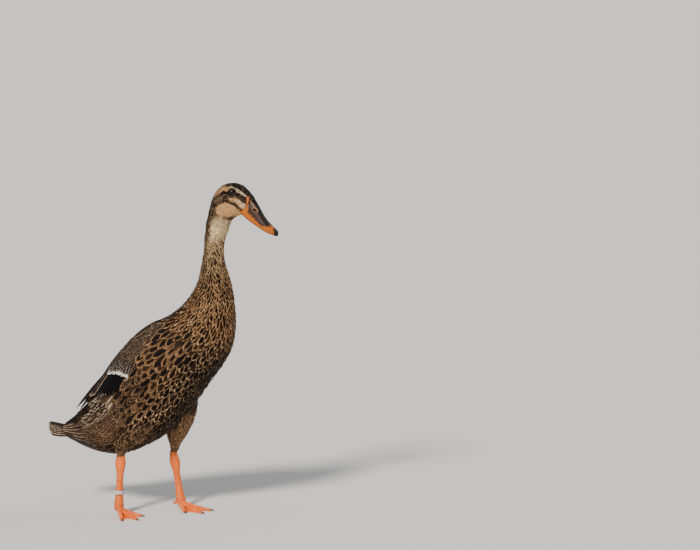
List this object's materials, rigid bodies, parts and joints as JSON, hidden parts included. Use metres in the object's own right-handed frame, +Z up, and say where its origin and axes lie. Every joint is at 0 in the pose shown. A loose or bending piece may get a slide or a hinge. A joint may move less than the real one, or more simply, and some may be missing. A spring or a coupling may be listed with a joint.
{
  "type": "indian runner duck",
  "caption": "Life-size standing Indian runner duck hen: upright trunk, long neck, wedge head turned right, folded wings, webbed feet in mid step, plain ring on the right leg.",
  "frame": {"origin": "on the floor, under the middle of the duck's outline seen from above", "axes": "+Z up, +X the way the duck heads, +Y its left side"},
  "size_m": [0.3768, 0.1476, 0.5071],
  "materials": {
    "plumage": "soft brown feathers with darker centres",
    "wing_plumage": "flat grey-brown wing and tail feathers",
    "bill_horn": "satin orange and slate horn",
    "leg_scales": "orange scaly skin",
    "claw": "dark horn",
    "eye": "wet dark brown",
    "band": "pale grey ring"
  },
  "bodies": {
    "root": {"head": "plumage", "neck_upper": "plumage", "neck_lower": "plumage", "breast": "plumage", "trunk": "plumage", "rump": "plumage", "tail": "wing_plumage", "wing_right": "wing_plumage", "wing_left": "wing_plumage", "bill_upper": "bill_horn", "bill_lower": "bill_horn", "eye_right": "eye", "eye_left": "eye", "shank_right": "leg_scales", "shank_left": "leg_scales", "foot_right": "leg_scales", "foot_left": "leg_scales", "claw_right_inner": "claw", "claw_right_middle": "claw", "claw_right_outer": "claw", "claw_left_inner": "claw", "claw_left_middle": "claw", "claw_left_outer": "claw", "leg_band": "band"}
  },
  "joints": []
}
